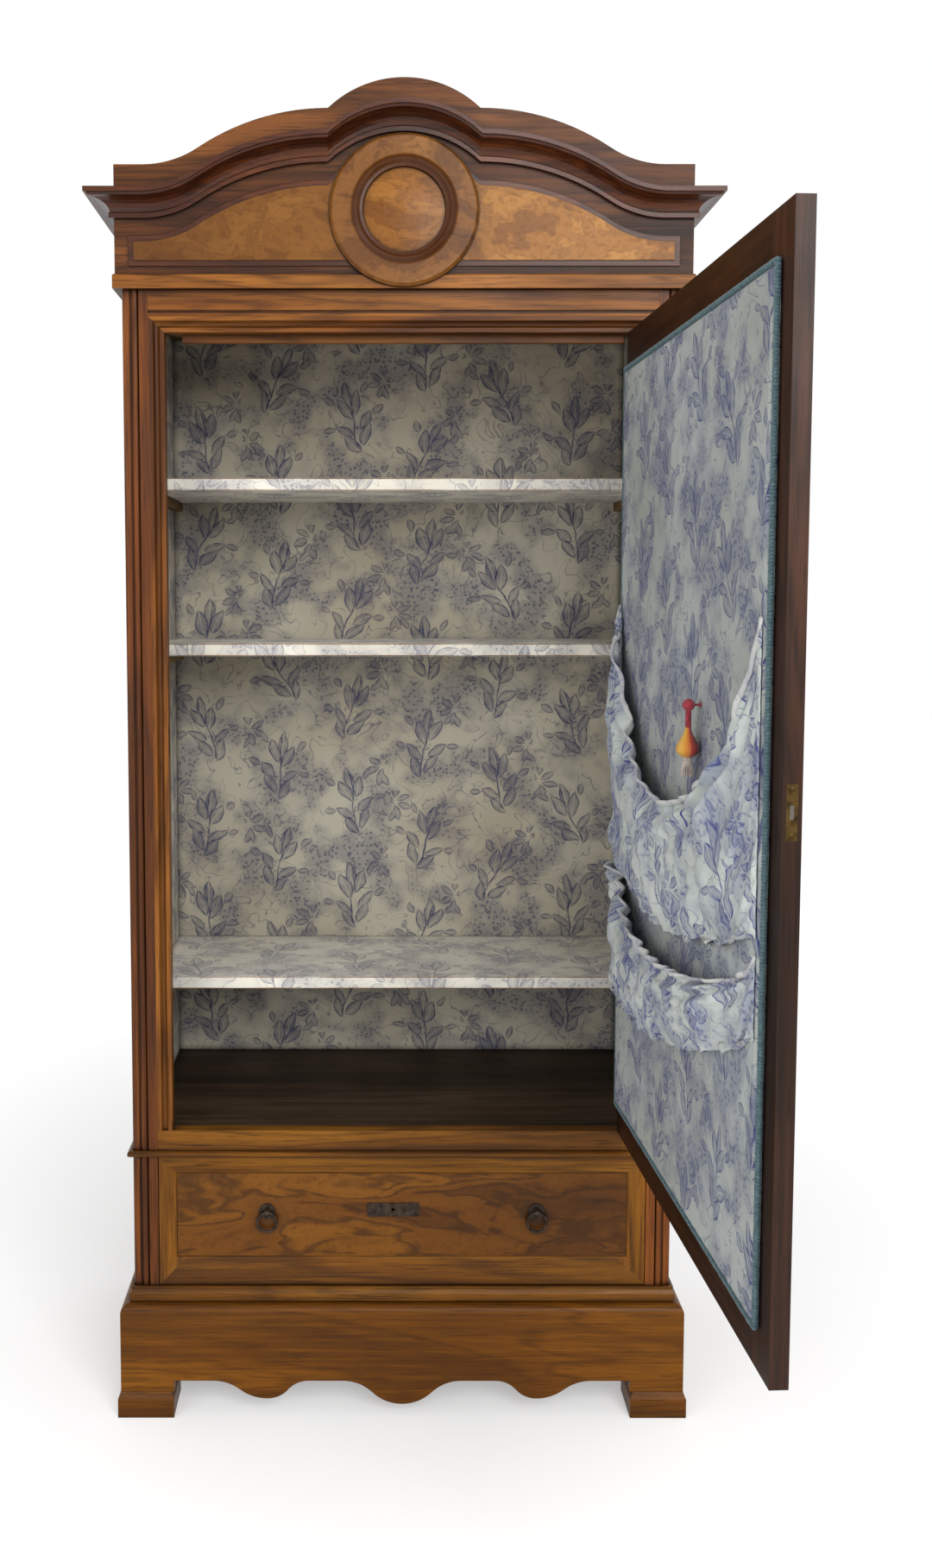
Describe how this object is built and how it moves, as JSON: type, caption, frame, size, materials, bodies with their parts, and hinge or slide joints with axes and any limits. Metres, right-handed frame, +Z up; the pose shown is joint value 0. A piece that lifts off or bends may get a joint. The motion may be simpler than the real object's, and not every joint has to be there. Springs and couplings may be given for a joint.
{
  "type": "bonnetiere cabinet",
  "caption": "Tall one-door walnut bonnetiere with an arched pediment, fabric-lined shelves, a lined door with gathered pockets, and a drawer below.",
  "frame": {"origin": "middle of the back at floor level, on the rear face of the plinth's back board", "axes": "+X to the right seen from the front, +Y to the back, +Z up; the front faces -Y and the door stands open at rest"},
  "size_m": [1.066, 1.2871, 2.3289],
  "materials": {
    "walnut": "waxed",
    "dark_walnut": "waxed",
    "burl": "polished",
    "carcase_wood": "plain",
    "toile": "printed cotton",
    "silk": "silk",
    "brass": "aged",
    "steel": "worn",
    "dark_iron": "patinated"
  },
  "bodies": {
    "case": {"architrave": "walnut", "back_boards": "carcase_wood", "back_lining": "toile", "base_moulding": "walnut", "bottom_rail": "walnut", "cabinet_floor": "carcase_wood", "crown_moulding": "dark_walnut", "crown_returns": "dark_walnut", "door_stop": "carcase_wood", "door_strike": "brass", "drawer_deck": "carcase_wood", "drawer_guides": "carcase_wood", "frieze_band": "walnut", "frieze_frames": "walnut", "frieze_panels": "burl", "front_feet": "walnut", "front_posts": "walnut", "hinge_frame_leaves": "brass", "medallion_disc": "burl", "medallion_ring": "burl", "pediment_board": "walnut", "pediment_sides": "walnut", "plinth_back": "carcase_wood", "plinth_front": "walnut", "plinth_moulding": "walnut", "plinth_sides": "walnut", "rear_feet": "walnut", "roof_board": "carcase_wood", "shelf_cleats": "carcase_wood", "shelf_lower": "toile", "shelf_middle": "toile", "shelf_upper": "toile", "side_frames": "walnut", "side_linings": "toile", "side_panels": "walnut", "sill_rail": "walnut", "top_rail": "walnut", "waist_moulding": "walnut"},
    "door": {"door_stile_lock": "walnut", "door_stile_hinge": "walnut", "door_rails": "walnut", "door_panel": "walnut", "door_lining": "toile", "hinge_door_leaves": "brass", "door_lock": "brass", "door_escutcheon": "brass", "pocket_upper": "toile", "pocket_lower": "toile", "tassel": "silk"},
    "drawer": {"drawer_front": "burl", "drawer_bottom": "carcase_wood", "drawer_sides": "carcase_wood", "drawer_back": "carcase_wood", "drawer_mouldings": "walnut", "drawer_lock": "dark_iron", "pull_roses": "dark_iron"},
    "door_bolt": {"door_bolt": "steel"},
    "drawer_bolt": {"drawer_bolt": "steel"},
    "ring_left": {"pull_ring_left": "dark_iron"},
    "ring_right": {"pull_ring_right": "dark_iron"}
  },
  "joints": [
    {"name": "door_hinge", "type": "hinge", "parent": "case", "child": "door", "pos_m": [0.40725, -0.473, 1.2135], "axis": [0, 0, 1], "range_deg": [-92.6, 67.4]},
    {"name": "drawer_slide", "type": "slide", "parent": "case", "child": "drawer", "axis": [0, -1, 0], "range_m": [0, 0.3]},
    {"name": "door_bolt_slide", "type": "slide", "parent": "door", "child": "door_bolt", "axis": [0.0454, -0.999, 0], "range_m": [0, 0.009]},
    {"name": "drawer_bolt_slide", "type": "slide", "parent": "drawer", "child": "drawer_bolt", "axis": [0, 0, 1], "range_m": [0, 0.008]},
    {"name": "left_ring_swing", "type": "hinge", "parent": "drawer", "child": "ring_left", "pos_m": [-0.241, -0.473, 0.366], "axis": [-1, 0, 0], "range_deg": [0, 80]},
    {"name": "right_ring_swing", "type": "hinge", "parent": "drawer", "child": "ring_right", "pos_m": [0.241, -0.473, 0.366], "axis": [-1, 0, 0], "range_deg": [0, 80]}
  ]
}
